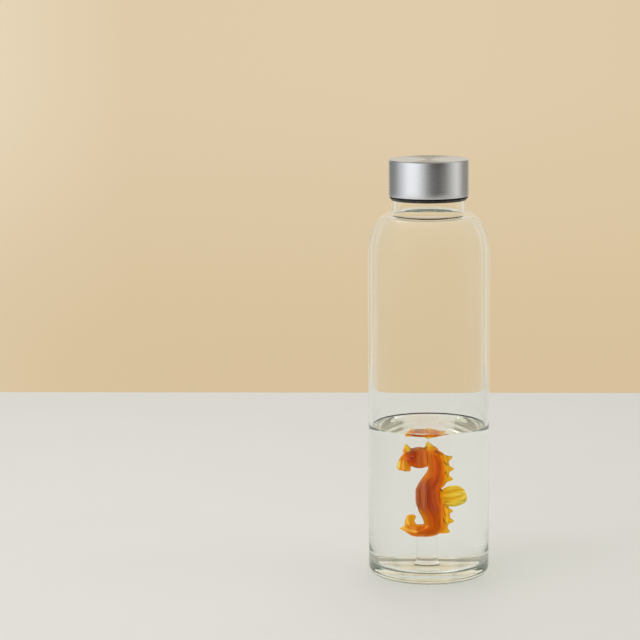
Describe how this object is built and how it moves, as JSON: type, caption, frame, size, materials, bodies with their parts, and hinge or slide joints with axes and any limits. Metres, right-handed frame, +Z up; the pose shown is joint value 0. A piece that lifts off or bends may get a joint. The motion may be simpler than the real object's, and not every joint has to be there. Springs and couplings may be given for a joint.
{
  "type": "glass water bottle with a lampworked glass seahorse inside",
  "caption": "Clear glass water bottle with a steel screw cap and an amber glass seahorse standing inside it on a clear glass post.",
  "frame": {"origin": "centre of the bottle's foot, on the surface it stands on", "axes": "+Z up the bottle's axis to the cap; the seahorse lies in the XZ plane and faces -X, with its back to +X"},
  "size_m": [0.065, 0.065, 0.225],
  "materials": {
    "clear_glass": "clear, polished borosilicate glass",
    "amber_glass": "glossy red-brown and orange glass with fine streaks",
    "yellow_glass": "glossy yellow-amber glass, paler where it is thin",
    "eye_glass": "glossy dark red swirl of glass",
    "brushed_steel": "brushed round the axis, satin",
    "black_plastic": "matte moulded plastic",
    "seal_rubber": "matte pale silicone"
  },
  "bodies": {
    "bottle": {"bottle_glass": "clear_glass", "glass_post": "clear_glass", "seahorse_head": "amber_glass", "seahorse_neck": "amber_glass", "seahorse_trunk": "amber_glass", "seahorse_belly": "amber_glass", "seahorse_tail_base": "amber_glass", "seahorse_tail_bend": "amber_glass", "seahorse_snout": "yellow_glass", "seahorse_mouth": "yellow_glass", "seahorse_nose_horn": "yellow_glass", "seahorse_crown": "yellow_glass", "seahorse_dorsal_fin": "yellow_glass", "seahorse_tail_curl": "yellow_glass", "seahorse_eye_left": "eye_glass", "seahorse_eye_right": "eye_glass"},
    "cap": {"cap_shell": "brushed_steel", "cap_insert": "black_plastic", "cap_seal": "seal_rubber"}
  },
  "joints": [
    {"name": "cap_lift", "type": "slide", "parent": "bottle", "child": "cap", "axis": [0, 0, 1], "range_m": [0, 0.03]}
  ]
}
